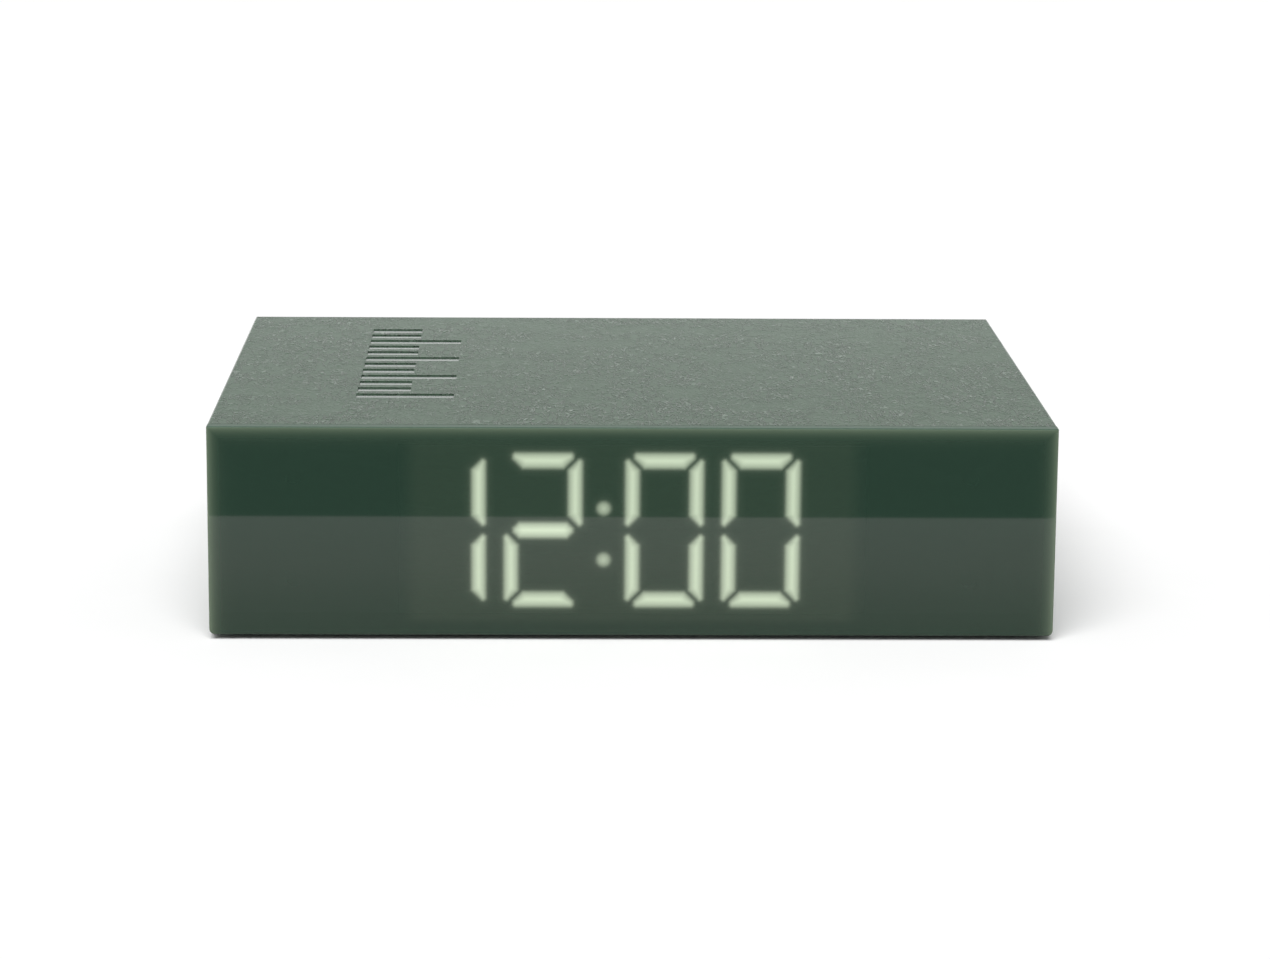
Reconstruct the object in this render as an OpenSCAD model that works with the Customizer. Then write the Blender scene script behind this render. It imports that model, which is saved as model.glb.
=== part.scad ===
// Book-shaped digital alarm clock. The spine with the display faces -Y, the fore
// edge faces +Y, and the feet stand on z = 0. Sizes are in millimetres.

/* [Case] */
// Width of the clock along its spine
body_w = 130; // [126:1:146]
// Depth from the spine to the fore edge
body_d = 100; // [98:1:114]
// Height of the case without its feet
body_h = 32.6; // [32:0.1:38]
// Thickness of the two cover boards
board_t = 3; // [2.8:0.1:3.3]
// Distance that the boards stand out past the page frame
overhang = 1.2; // [1:0.1:2]
// Wall of the page frame
wall = 2; // [1.8:0.1:2.4]
// Corner radius of the boards at the fore edge
board_r = 0.5; // [0.3:0.1:3]
// Rounding along the outer edges of the boards
edge_r = 0.3; // [0.2:0.1:1]
// Shadow gap between the front lens and the boards
seam = 0.15; // [0.1:0.05:0.3]

/* [Page lines] */
// Number of lines round the page frame
page_lines = 9; // [5:1:12]
// Depth of one page line
page_line_d = 0.3; // [0.2:0.05:0.5]
// Height of one page line
page_line_h = 0.45; // [0.3:0.05:0.8]

/* [Hour marks] */
// Number of sunk marks on the top cover
mark_n = 12; // [4:1:12]
// Length of the row of marks, along the depth
mark_row = 60; // [40:1:66]
// Length of a long mark, every third one
mark_long = 15.5; // [10:0.5:18]
// Length of a short mark
mark_short = 8.5; // [5:0.5:10]
// Width of a mark
mark_w = 3.4; // [1:0.1:4]
// Depth of a mark
mark_d = 0.2; // [0.1:0.1:0.8]
// Distance from the middle of the cover to the end of the row's marks
mark_off = 43.5; // [38:0.5:48]

/* [Front lens] */
// Thickness of the lens
lens_t = 2; // [1.8:0.1:2.6]
// Depth of the pocket behind the lens that seats the light guide
lens_pocket = 0.8; // [0.5:0.1:1]
// Rounding of the upright front edges
lens_side_r = 0.25; // [0.2:0.05:1]
// Rounding of the two lower corners
lens_foot_r = 1; // [0.6:0.1:2]
// Rounding of the upper corners and of the upper front edge
lens_top_r = 0.2; // [0.1:0.05:0.6]
// Width left beside the digits in the display window
win_margin = 1.45; // [1:0.05:4]
// Radius of a stake that holds the lens to the page frame
stake_r = 1.2; // [1:0.1:1.5]

/* [Display] */
// Width of a digit
digit_w = 12; // [11:0.1:12.6]
// Height left above and below the digits in the light guide
digit_margin = 1.05; // [0.8:0.05:3]
// Width of the segments that lie
stroke = 2.4; // [2:0.05:2.8]
// Width of the segments that stand
side_stroke = 2.15; // [1.9:0.05:2.6]
// Gap between two segments
seg_gap = 0.7; // [0.5:0.1:1]
// Distance between the digits of a pair
digit_pitch = 14.8; // [14:0.1:15.2]
// Distance between the two pairs of digits
pair_gap = 18.6; // [18:0.1:19.5]
// Position of the colon along the spine
colon_x = -4.45; // [-5:0.05:-3]
// Distance of the colon's middle below the middle of the digits
colon_drop = 0.6; // [0:0.1:1]
// Radius of a colon dot
dot_r = 1.05; // [0.8:0.05:1.2]
// Thickness of the diffuser film
film_t = 0.2; // [0.1:0.05:0.3]
// Depth of the light guide
guide_t = 7; // [6:0.5:9]
// Length of a light pipe at the front of its well
pipe_l = 4.5; // [3:0.5:4.5]

/* [Battery bay] */
// Diameter of a cell
cell_d = 10.5; // [10.3:0.1:10.7]
// Length of a cell with its nub
cell_l = 44.5; // [44:0.1:45]
// Thickness of the battery door
door_t = 1.8; // [1.6:0.1:2]
// Gap round the battery door
door_gap = 0.25; // [0.2:0.05:0.4]
// Wall of the battery bay
bay_wall = 1.2; // [1:0.1:1.6]
// Middle of the row of cells, from the middle of the case
bay_y = 4; // [2:0.5:5]

/* [Controls] */
// Radius of a button cap
cap_r = 2.8; // [2.4:0.1:3]
// Distance that a cap stands out of the fore edge
cap_proud = 0.8; // [0.7:0.1:1]
// Travel of a button
press = 0.5; // [0.3:0.1:0.5]
// Distance between two buttons
button_pitch = 9.5; // [9.2:0.1:9.8]
// Travel of the alarm slider
slide_travel = 4; // [3:0.5:4]
// Gap round the caps and the slider knob
key_gap = 0.2; // [0.15:0.05:0.3]

/* [Feet and speaker] */
// Radius of a foot
foot_r = 4.5; // [3.5:0.1:5]
// Distance that a foot stands out of the base
foot_h = 0.8; // [0.6:0.1:1.4]
// Radius of the speaker
speaker_r = 14; // [12:0.5:14]
// Radius of a speaker hole
grille_r = 0.9; // [0.6:0.1:1.1]

/* [Hidden] */
$fn = 48;
eps = 0.01;
fit = 0.15;

// Levels
z_base = foot_h;
z_floor = z_base + board_t;
z_top = z_base + body_h;
z_ceil = z_top - board_t;
z_mid = z_base + body_h / 2;
frame_h = z_ceil - z_floor;

// Planes along the depth
y_front = -body_d / 2;
y_rear = body_d / 2;
y_lens = y_front + lens_t;
y_board = y_lens + seam;
frame_x = body_w / 2 - overhang;
frame_y = y_rear - overhang;
inner_x = frame_x - wall;
inner_y = frame_y - wall;
front_wall = 1.6;
y_return = y_lens + front_wall;
frame_r = 1;

// Ribs that locate the frame between the boards
rib_t = 1.2;
rib_h = 1.8;
rib_end = 12;

// Lens stakes
stake_in = 11.8;
stake_x = frame_x - stake_in;
stake_z = 8;
stake_gap = 0.15;
stake_lip = 0.8;
stake_head_r = stake_r + stake_lip;
stake_head_t = 0.8;

// Case screws and feet
foot_in = 7.5;
foot_x = body_w / 2 - foot_in;
foot_y0 = y_lens + foot_in;
foot_y1 = y_rear - foot_in;
foot_sink = 0.8;
foot_edge = 0.5;
screw_r = 1.3;
screw_l = 12;
screw_gap = 0.05;
screw_end = 1;
head_r = 2.5;
head_t = 1.4;
head_gap = 0.25;
head_sink = 0.2;
tower_r = 3.4;
tower_gap = 0.5;
screw_step = 9;
screw_x = inner_x - fit - rib_t - tower_r - tower_gap;
screw_y0 = foot_y0 + screw_step;
screw_y1 = foot_y1 - screw_step;
cross_w = 0.8;
cross_l = 3.2;
cross_d = 0.8;
fine_l = 2;
fine_w = 0.5;
fine_d = 0.6;

// Hour marks
mark_pitch = mark_row / (mark_n - 1);
mark_y = 5.5;

// Digits and segments, each list gives the lit segments a to g
digit_x = [colon_x - pair_gap / 2 - digit_pitch, colon_x - pair_gap / 2,
           colon_x + pair_gap / 2, colon_x + pair_gap / 2 + digit_pitch];
lit = [[1, 2], [0, 1, 3, 4, 6], [0, 1, 2, 3, 4, 5], [0, 1, 2, 3, 4, 5]];
guide_h = frame_h - 2 * fit;
digit_h = guide_h - 2 * digit_margin;
hw = digit_w / 2;
hh = digit_h / 2;
win_w = 2 * (hw - digit_x[0] + win_margin);
mitre = seg_gap / sqrt(2);
bar_tip = 0.9;
side_tip = 0.55;
mid_tip = 0.3;
tip_cut = 0.3;
mid_gap = 0.2;
mid_in = 1.15;
dot_dz = digit_h / 6;
bar_x = hw - mitre - bar_tip;
mid_x = hw - mid_in;
seg_top = [[tip_cut - bar_x, hh], [bar_x - tip_cut, hh], [bar_x, hh - tip_cut], [bar_x, hh - bar_tip],
           [hw - stroke - mitre, hh - stroke], [stroke + mitre - hw, hh - stroke],
           [-bar_x, hh - bar_tip], [-bar_x, hh - tip_cut]];
seg_side = [[hw, hh - mitre - side_tip - tip_cut], [hw, mid_gap + side_tip + tip_cut],
            [hw - tip_cut, mid_gap + side_tip], [hw - side_tip, mid_gap + side_tip],
            [hw - side_stroke, mid_gap + side_stroke], [hw - side_stroke, hh - side_stroke - mitre],
            [hw - side_tip, hh - mitre - side_tip], [hw - tip_cut, hh - mitre - side_tip]];
seg_mid = [[mid_tip - mid_x, mid_tip], [stroke / 2 - mid_x, stroke / 2], [mid_x - stroke / 2, stroke / 2],
           [mid_x - mid_tip, mid_tip], [mid_x - mid_tip, -mid_tip], [mid_x - stroke / 2, -stroke / 2],
           [stroke / 2 - mid_x, -stroke / 2], [mid_tip - mid_x, -mid_tip]];
side_z = (hh + mid_gap) / 2;
side_x = hw - side_stroke / 2;
led_at = [[0, hh - stroke / 2], [side_x, side_z], [side_x, -side_z],
          [0, stroke / 2 - hh], [-side_x, -side_z], [-side_x, side_z], [0, 0]];

// Light guide, film and display board
y_film = y_lens - lens_pocket;
y_guide = y_film + film_t;
y_dboard = y_guide + guide_t;
guide_w = win_w - 2 * fit;
flange_w = 4;
flange_t = 2;
flange_x = win_w / 2 + flange_w;
guide_play = 0.1;
flange_y = y_return + guide_play;
spacer_x = win_w / 2 + flange_w / 2;
spacer_r = 1.9;
dboard_t = 1.6;
dboard_in = 0.5;
dboard_w = 2 * (flange_x - dboard_in);
dboard_h = guide_h - 2 * dboard_in;
dscrew_r = 0.8;
dscrew_head = 1.6;
dscrew_head_t = 1.1;
dscrew_l = 4.4;
led_w = 1.6;
led_h = 1;
led_t = 0.8;

// Battery bay
cell_n = 3;
cell_gap = 0.6;
cell_pitch = cell_d + cell_gap;
nub_r = 1.9;
nub_l = 1;
contact_t = 0.4;
contact_w = 8;
contact_h = 8.4;
leaf_l = 5;
leaf_t = 0.35;
leaf_h = 5;
leaf_root = 3.4;
leaf_peak = 0.6;
leaf_tip = 3;
leaf_back = 1.2;
hook_room = 1.5;
latch_room = 1.9;
ledge = 1.6;
bay_l = cell_l + leaf_l + 2 * contact_t;
bay_x = bay_l / 2;
bay_y0 = bay_y - cell_n * cell_pitch / 2 - hook_room;
bay_y1 = bay_y + cell_n * cell_pitch / 2 + latch_room;
cell_play = 0.3;
cell_z = z_base + door_t + cell_play + cell_d / 2;
bay_top = cell_z + cell_d / 2 + cell_play;
cell_y = [for (i = [0 : cell_n - 1]) bay_y + (i - (cell_n - 1) / 2) * cell_pitch];
cell_dir = [for (i = [0 : cell_n - 1]) i % 2 == 0 ? 1 : -1];
lead_r = 0.5;
lead_bead = 0.05;
lead_hole = 0.8;
lead_up = 3.2;
lead_out = 2.6;
lead_in = 3;
lead_z = cell_z + lead_up;

// Battery door with two hooks and a latch
door_x = bay_x + ledge - door_gap;
door_y0 = bay_y0 - ledge + door_gap;
door_y1 = bay_y1 + ledge - door_gap;
door_lift = 0.1;
door_r = 1;
hook_x = 15;
hook_w = 7;
hook_t = 1.1;
hook_reach = 1.6;
hook_lift = 0.35;
hook_gap = 0.4;
hook_win = 2.8;
hook_back = 0.3;
latch_w = 10;
latch_t = 1;
latch_h = 3.2;
latch_in = 0.7;
nib = 0.25;
nib_z = 1.6;
slot_w = 0.8;
slot_l = 9;
grip_r = 9;
grip_d = 0.8;
grip_w = 14;
grip_in = 6;

// Main board with its posts and screws
post_x = 36.5;
post_in = 6.8;
post_span = 29;
post_y1 = inner_y - post_in;
post_y0 = post_y1 - post_span;
post_r = 2.6;
board_lift = 1.5;
post_top = bay_top + bay_wall + board_lift;
mboard_t = 1.6;
mboard_side = 3.5;
mboard_fore = 5;
mboard_gap = 1.8;
mboard_x = post_x + mboard_side;
mboard_y0 = post_y0 - mboard_fore;
mboard_y1 = inner_y - mboard_gap;
z_board = post_top + mboard_t;
bscrew_r = 0.95;
bscrew_l = 7;
bscrew_head = 1.8;
bscrew_head_t = 1.3;

// Small parts on the main board, placed from its front edge
chip_w = 12;
chip_d = 10;
chip_t = 1.5;
chip_lift = 0.1;
chip_y = 19;
leg_n = 4;
leg_pitch = 1.27;
leg_w = 0.4;
leg_l = 1.8;
leg_t = 0.6;
xtal_w = 11;
xtal_d = 4.6;
xtal_h = 3.5;
xtal_x = 12;
xtal_y = 18;
can_r = 2.5;
can_h = 6;
can_foot = 1;
can_neck = 0.5;
can_groove = 0.2;
can_x = -22;
can_y = 20;
tap_r = 1.6;
tap_l = 10;
tap_x = 22;
tap_y = 10;

// Controls on the fore edge
key_up = 3.2;
button_x0 = 2;
key_z = z_board + key_up;
button_x = [for (i = [0 : 3]) button_x0 + i * button_pitch];
flange_gap = 0.1;
cap_lip = 0.9;
cap_flange_r = cap_r + cap_lip;
cap_flange_t = 1;
cap_edge = 0.4;
y_flange = inner_y - flange_gap;
stem_r = 1.5;
stem_l = 0.5;
y_stem = y_flange - cap_flange_t - stem_l;
plunger_r = 1.2;
plunger_gap = 0.15;
plunger_l = 3;
sw_w = 6;
sw_d = 3.6;
sw_h = 6.2;
plunger_show = 2.2;
plunger_room = 0.3;
y_switch = y_stem - plunger_show;
legend_d = 0.3;
legend_w = 0.6;
legend_l = 2.8;
knob_x = -14;
knob_w = 4;
knob_h = 3;
knob_proud = 0.9;
knob_lap = 0.5;
knob_lip = 0.9;
knob_base_w = knob_w + 2 * (slide_travel + knob_lap);
knob_base_h = knob_h + 2 * knob_lip;
knob_base_t = 0.9;
sock_w = 4;
sock_t = 1.6;
lever_w = 1.8;
lever_gap = 0.1;
lever_l = 4;
slide_w = 9;
slide_d = 3.6;
slide_h = 5.4;
slide_show = 2;
slide_slot = 2.6;
slide_play = 0.2;
grip_pitch = 1.2;
grip_rib = 0.4;
panel_x = 37;
panel_h = 11;
panel_z = key_z - 1;

// USB inlet
usb_x = -28;
usb_w = 8.94;
usb_h = 3.26;
usb_t = 0.3;
usb_l = 7.4;
usb_back = 1;
usb_gap = 0.3;
usb_flare = 1.1;
usb_flare_d = 0.9;
usb_z = z_board + usb_h / 2;
usb_in = 1.1;
usb_y = frame_y - usb_in;
tongue_w = 6.7;
tongue_h = 0.7;
tongue_short = 0.9;

// Ribbon and its sockets
ribbon_w = 12;
ribbon_t = 0.3;
ribbon_end = 4;
ribbon_steps = 16;
rsock_w = 14;
rsock_t = 2.2;
rsock_h = 4;
ribbon_up = 6;
ribbon_z = z_mid + ribbon_up;
y_rsock = y_dboard + dboard_t;
msock_d = 5;
msock_h = 2.4;
msock_in = 3;
msock_y = mboard_y0 + msock_in;
ribbon_low = z_board + msock_h / 2;

// Speaker
speaker_in = 2.8;
speaker_step = 17.5;
speaker_x = -(inner_x - speaker_r - speaker_in);
speaker_y = screw_y0 + speaker_step;
speaker_rim = 2;
speaker_h = 4.6;
rim_t = 1.2;
rim_in = 1.4;
rim_low = 1;
back_in = 6.3;
back_r = speaker_r - back_in;
basket_t = 0.6;
basket_skin = 0.4;
cone_t = 0.3;
cone_z = 0.3;
cone_flat = 1.6;
cone_top = 2.2;
cap_z = 1.6;
cap_share = 0.42;
magnet_in = 1.7;
magnet_r = back_r - magnet_in;
magnet_h = 2.2;
seat_gap = 0.2;
seat_t = 1.2;
seat_h = 2;
grille_pitch = 4;
pad_in = 6;
pad_x = pad_in - post_x;
pad_y = 2;
pad_step = 2;
lead_high = 4;
lead_step = 1.5;
lead_apart = 1;

// Rectangle between two corners; r rounds the corners, counted from the lower left
module soft_rect(x0, y0, x1, y1, r) {
    difference() {
        translate([x0, y0]) square([x1 - x0, y1 - y0]);
        if (r[0] > 0) translate([x0, y0]) corner(r[0]);
        if (r[1] > 0) translate([x1, y0]) mirror([1, 0]) corner(r[1]);
        if (r[2] > 0) translate([x1, y1]) rotate(180) corner(r[2]);
        if (r[3] > 0) translate([x0, y1]) mirror([0, 1]) corner(r[3]);
    }
}

// What a rounding takes off a corner
module corner(r) {
    difference() {
        translate([-1, -1]) square(r + 1);
        translate([r, r]) circle(r);
    }
}

// Flat shape drawn in x and z, standing from plane y over a depth d
module facing(y, d) {
    translate([0, y + d, 0]) rotate([90, 0, 0]) linear_extrude(d) children();
}

// Flat shape drawn in y and z, running along x over a width w, centred
module across(w) {
    translate([-w / 2, 0, 0]) rotate([90, 0, 90]) linear_extrude(w) children();
}

// Rod along +Y from plane y
module rod(x, y, z, r, l) {
    translate([x, y, z]) rotate([-90, 0, 0]) cylinder(r = r, h = l);
}

// Block between two corners
module block(a, b) {
    translate(a) cube(b - a);
}

// Bent strip of thickness t through a list of points
module strip(p, t) {
    for (i = [0 : len(p) - 2]) {
        d = p[i + 1] - p[i];
        translate(p[i]) rotate(atan2(d[1], d[0])) translate([0, -t / 2]) square([norm(d), t]);
    }
    for (i = [1 : len(p) - 2]) translate(p[i]) circle(d = t);
}

// Normal of the line from one point to the next
function normal(a, b) = [a[1] - b[1], b[0] - a[0]] / norm(b - a);

// Step from point i of a path to the edge of a band of half thickness h
function to_edge(p, i, h) =
    let (a = normal(p[max(i - 1, 0)], p[max(i, 1)]))
    let (b = normal(p[min(i, len(p) - 2)], p[min(i + 1, len(p) - 1)]))
    (a + b) * 2 * h / ((a + b) * (a + b));

// Even band of thickness t along a path, in one outline
module band(p, t) {
    n = len(p) - 1;
    polygon(concat([for (i = [0 : n]) p[i] + to_edge(p, i, t / 2)],
                   [for (i = [n : -1 : 0]) p[i] - to_edge(p, i, t / 2)]));
}

// Wire that turns square corners through a list of points
module wire(p, r) {
    for (i = [0 : len(p) - 2]) {
        d = p[i + 1] - p[i];
        translate(p[i]) rotate([0, acos(d[2] / norm(d)), atan2(d[1], d[0])]) cylinder(r = r, h = norm(d));
    }
    for (i = [1 : len(p) - 2]) translate(p[i]) sphere(r = r + lead_bead);
}

// Stadium outline, w wide and h high
module stadium(w, h) {
    square([w - h, h], center = true);
    for (s = [-1, 1]) translate([s * (w - h) / 2, 0]) circle(d = h);
}

// Screw with its head at the origin and its shank along +Z
module screw(r, l, head, head_h, slot_l, slot_w, slot_d) {
    difference() {
        union() {
            cylinder(r = head, h = head_h);
            translate([0, 0, head_h - eps]) cylinder(r = r, h = l + eps);
        }
        for (a = [0, 90]) rotate(a) translate([-slot_l / 2, -slot_w / 2, -eps])
            cube([slot_l, slot_w, slot_d + eps]);
    }
}

// One segment of a digit, a to g
module segment(i) {
    if (i == 0) polygon(seg_top);
    if (i == 1) polygon(seg_side);
    if (i == 2) mirror([0, 1]) polygon(seg_side);
    if (i == 3) mirror([0, 1]) polygon(seg_top);
    if (i == 4) rotate(180) polygon(seg_side);
    if (i == 5) mirror([1, 0]) polygon(seg_side);
    if (i == 6) polygon(seg_mid);
}

// The two dots of the colon
module colon() {
    for (s = [-1, 1]) translate([colon_x, z_mid - colon_drop + s * dot_dz]) circle(dot_r);
}

function is_lit(d, i) = len([for (k = lit[d]) if (k == i) k]) > 0;

// The segments of all digits: those that are lit, or those that are dark
module segments(on) {
    for (d = [0 : 3]) for (i = [0 : 6])
        if (is_lit(d, i) == on) translate([digit_x[d], z_mid]) segment(i);
}

// Cover board between two levels; the edge away from the pages is rounded
module board(z0, z1, low_r, high_r) {
    intersection() {
        translate([0, 0, z0]) linear_extrude(z1 - z0)
            soft_rect(-body_w / 2, y_board, body_w / 2, y_rear, [0, 0, board_r, board_r]);
        facing(y_board - 1, body_d)
            soft_rect(-body_w / 2, z0, body_w / 2, z1, [low_r, low_r, high_r, high_r]);
        across(body_w + 2)
            soft_rect(y_board, z0, y_rear, z1, [0, low_r, high_r, 0]);
    }
}

// Ribs inside the page frame, from level z upwards
module ribs(z) {
    x = inner_x - fit;
    y = inner_y - fit;
    for (s = [-1, 1]) translate([s * (x - rib_t / 2), (y_return + y) / 2, z + rib_h / 2])
        cube([rib_t, y - y_return - 2 * rib_end, rib_h], center = true);
    block([-x + rib_end, y - rib_t, z], [x - rib_end, y, z + rib_h]);
}

module at_screws() {
    for (x = [-screw_x, screw_x]) for (y = [screw_y0, screw_y1]) translate([x, y, 0]) children();
}

module at_feet() {
    for (x = [-foot_x, foot_x]) for (y = [foot_y0, foot_y1]) translate([x, y, 0]) children();
}

module at_posts() {
    for (x = [-post_x, post_x]) for (y = [post_y0, post_y1]) translate([x, y, 0]) children();
}

module at_stakes() {
    for (x = [-stake_x, stake_x]) for (s = [-1, 1]) translate([x, 0, z_mid + s * stake_z]) children();
}

// Glossy see-through spine with a pocket for the light guide and four stakes
module front_lens() {
    color([0.16, 0.24, 0.2, 0.8]) union() {
        difference() {
            intersection() {
                facing(y_front, lens_t)
                    soft_rect(-body_w / 2, z_base, body_w / 2, z_top,
                              [lens_foot_r, lens_foot_r, lens_top_r, lens_top_r]);
                translate([0, 0, z_base]) linear_extrude(body_h)
                    soft_rect(-body_w / 2, y_front, body_w / 2, y_lens, [lens_side_r, lens_side_r, 0, 0]);
                across(body_w + 2)
                    soft_rect(y_front, z_base, y_lens, z_top, [lens_top_r, 0, 0, lens_top_r]);
            }
            block([-win_w / 2, y_film, z_floor], [win_w / 2, y_lens + 1, z_ceil]);
        }
        at_stakes() {
            rod(0, y_lens - lens_t / 2, 0, stake_r, lens_t / 2 + front_wall + stake_head_t);
            rod(0, y_return, 0, stake_head_r, stake_head_t);
        }
    }
}

// Top board with its row of sunk marks, locating ribs and four screw towers
module top_cover() {
    color([0.17, 0.24, 0.2]) difference() {
        union() {
            board(z_ceil, z_top, 0, edge_r);
            ribs(z_ceil - rib_h);
            at_screws() translate([0, 0, z_floor + fit]) cylinder(r = tower_r, h = z_ceil - z_floor);
        }
        for (i = [0 : mark_n - 1]) {
            l = i % 3 == 0 ? mark_long : mark_short;
            y = mark_y + (i - (mark_n - 1) / 2) * mark_pitch;
            block([-mark_off, y - mark_w / 2, z_top - mark_d], [l - mark_off, y + mark_w / 2, z_top + 1]);
        }
        at_screws() translate([0, 0, z_floor]) cylinder(r = screw_r + screw_gap, h = screw_l);
    }
}

// Walls between the boards, lined like page edges, open in front for the display
module page_frame() {
    color([0.2, 0.26, 0.22]) difference() {
        translate([0, 0, z_floor]) linear_extrude(frame_h) difference() {
            soft_rect(-frame_x, y_lens, frame_x, frame_y, [0, 0, frame_r, frame_r]);
            translate([-inner_x, y_return]) square([2 * inner_x, inner_y - y_return]);
            translate([-win_w / 2, y_lens - 1]) square([win_w, front_wall + 2]);
        }
        for (i = [1 : page_lines]) page_line(z_floor + i * frame_h / (page_lines + 1));
        at_stakes() rod(0, y_lens - 1, 0, stake_r + stake_gap, front_wall + 2);
        for (x = button_x) rod(x, inner_y - 1, key_z, cap_r + key_gap, wall + 2);
        facing(inner_y - 1, wall + 2) translate([knob_x + slide_travel / 2, key_z])
            square([knob_w + slide_travel + 2 * key_gap, knob_h + 2 * key_gap], center = true);
        facing(inner_y - 1, wall + 2) translate([usb_x, usb_z])
            stadium(usb_w + 2 * usb_gap, usb_h + 2 * usb_gap);
        facing(frame_y - usb_flare_d, wall) translate([usb_x, usb_z])
            stadium(usb_w + 2 * usb_flare, usb_h + 2 * usb_flare);
    }
}

// What one page line takes off the frame; the control panel stays plain
module page_line(z) {
    difference() {
        translate([0, 0, z - page_line_h / 2]) linear_extrude(page_line_h) difference() {
            translate([-frame_x - 1, y_lens + wall]) square([2 * frame_x + 2, body_d]);
            soft_rect(-frame_x + page_line_d, y_lens, frame_x - page_line_d, frame_y - page_line_d,
                      [0, 0, frame_r, frame_r]);
        }
        block([-panel_x, inner_y, panel_z - panel_h / 2], [panel_x, y_rear + 1, panel_z + panel_h / 2]);
    }
}

// Bottom board with the battery bay, board posts, speaker seat and locating ribs
module base_cover() {
    color([0.15, 0.2, 0.17]) difference() {
        union() {
            board(z_base, z_floor, edge_r, 0);
            ribs(z_floor);
            block([-bay_x - bay_wall, bay_y0 - bay_wall, z_floor - eps],
                  [bay_x + bay_wall, bay_y1 + bay_wall, bay_top + bay_wall]);
            at_posts() translate([0, 0, z_floor - eps]) cylinder(r = post_r, h = post_top - z_floor + eps);
            translate([speaker_x, speaker_y, z_floor - eps])
                cylinder(r = speaker_r + seat_gap + seat_t, h = seat_h + eps);
        }
        block([-bay_x, bay_y0, z_base - 1], [bay_x, bay_y1, bay_top]);
        block([-bay_x - ledge, bay_y0 - ledge, z_base - 1],
              [bay_x + ledge, bay_y1 + ledge, z_base + door_t + door_lift]);
        for (s = [-1, 1]) block([s * hook_x - hook_w / 2 - hook_gap, bay_y0 - bay_wall - 1, z_floor],
                                [s * hook_x + hook_w / 2 + hook_gap, bay_y0 + 1, z_floor + hook_win]);
        translate([-bay_x - bay_wall - 1, cell_y[0], lead_z]) rotate([0, 90, 0])
            cylinder(r = lead_hole, h = bay_wall + 2);
        translate([bay_x - 1, cell_y[2], lead_z]) rotate([0, 90, 0])
            cylinder(r = lead_hole, h = bay_wall + 2);
        at_feet() translate([0, 0, z_base - 1]) cylinder(r = foot_r + fit, h = foot_sink + 1);
        at_screws() {
            translate([0, 0, z_base - 1]) cylinder(r = screw_r + head_gap, h = board_t + 2);
            translate([0, 0, z_base - 1]) cylinder(r = head_r + head_gap, h = head_sink + head_t + 1);
        }
        at_posts() translate([0, 0, post_top - bscrew_l])
            cylinder(r = bscrew_r + screw_gap, h = bscrew_l + 1);
        translate([speaker_x, speaker_y, 0]) {
            translate([0, 0, z_floor]) cylinder(r = speaker_r + seat_gap, h = seat_h + 1);
            translate([0, 0, z_base - 1]) linear_extrude(board_t + 2) grille();
        }
    }
}

// Nineteen holes on a hexagon
module grille() {
    circle(grille_r);
    for (a = [0 : 60 : 300]) rotate(a) {
        translate([grille_pitch, 0]) circle(grille_r);
        translate([2 * grille_pitch, 0]) circle(grille_r);
        rotate(30) translate([grille_pitch * sqrt(3), 0]) circle(grille_r);
    }
}

// Door of the battery bay: two hooks at its front edge, a latch tongue at its back edge
module battery_door() {
    top = z_base + door_t;
    latch_y = bay_y1 - latch_in;
    color([0.15, 0.2, 0.17]) difference() {
        union() {
            translate([0, 0, z_base]) linear_extrude(door_t)
                soft_rect(-door_x, door_y0, door_x, door_y1, [door_r, door_r, door_r, door_r]);
            for (s = [-1, 1]) {
                x = s * hook_x;
                block([x - hook_w / 2, bay_y0 + hook_back, top - eps],
                      [x + hook_w / 2, bay_y0 + hook_back + hook_t, z_floor + hook_lift + hook_t]);
                block([x - hook_w / 2, bay_y0 - hook_reach, z_floor + hook_lift],
                      [x + hook_w / 2, bay_y0 + hook_back + hook_t, z_floor + hook_lift + hook_t]);
            }
            block([-latch_w / 2, latch_y - latch_t, top - eps], [latch_w / 2, latch_y, z_floor + latch_h]);
            block([-latch_w / 2, latch_y - latch_t, z_floor + nib_z - nib],
                  [latch_w / 2, latch_y + nib, z_floor + nib_z + nib]);
        }
        for (s = [-1, 1]) block([s * (latch_w / 2 + slot_w) - slot_w / 2, door_y1 - slot_l, z_base - 1],
                                [s * (latch_w / 2 + slot_w) + slot_w / 2, door_y1 + 1, top + 1]);
        translate([-grip_w / 2, door_y1 - slot_l - grip_in, z_base - grip_r + grip_d]) rotate([0, 90, 0])
            cylinder(r = grip_r, h = grip_w);
    }
}

// Four round feet sunk into the base
module rubber_feet() {
    color([0.08, 0.08, 0.08]) at_feet() rotate_extrude()
        soft_rect(0, 0, foot_r, foot_h + foot_sink, [0, foot_edge, 0, 0]);
}

// Four screws that draw the boards onto the page frame
module case_screws() {
    color([0.6, 0.6, 0.62]) at_screws() translate([0, 0, z_base + head_sink])
        screw(screw_r, screw_l - screw_end, head_r, head_t, cross_l, cross_w, cross_d);
}

// White block with a well for each segment and dot, and a flange at each end
module light_guide() {
    color([0.92, 0.92, 0.9]) difference() {
        union() {
            block([-guide_w / 2, y_guide, z_floor + fit], [guide_w / 2, y_dboard, z_ceil - fit]);
            block([-flange_x, flange_y, z_floor + fit], [flange_x, flange_y + flange_t, z_ceil - fit]);
            for (s = [-1, 1]) rod(s * spacer_x, flange_y, z_mid, spacer_r, y_dboard - flange_y);
        }
        facing(y_guide - 1, guide_t + 2) segments(true);
        facing(y_guide - 1, guide_t + 2) segments(false);
        facing(y_guide - 1, guide_t + 2) colon();
        for (s = [-1, 1]) rod(s * spacer_x, y_dboard - dscrew_l, z_mid, dscrew_r + screw_gap, dscrew_l + 1);
    }
}

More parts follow.
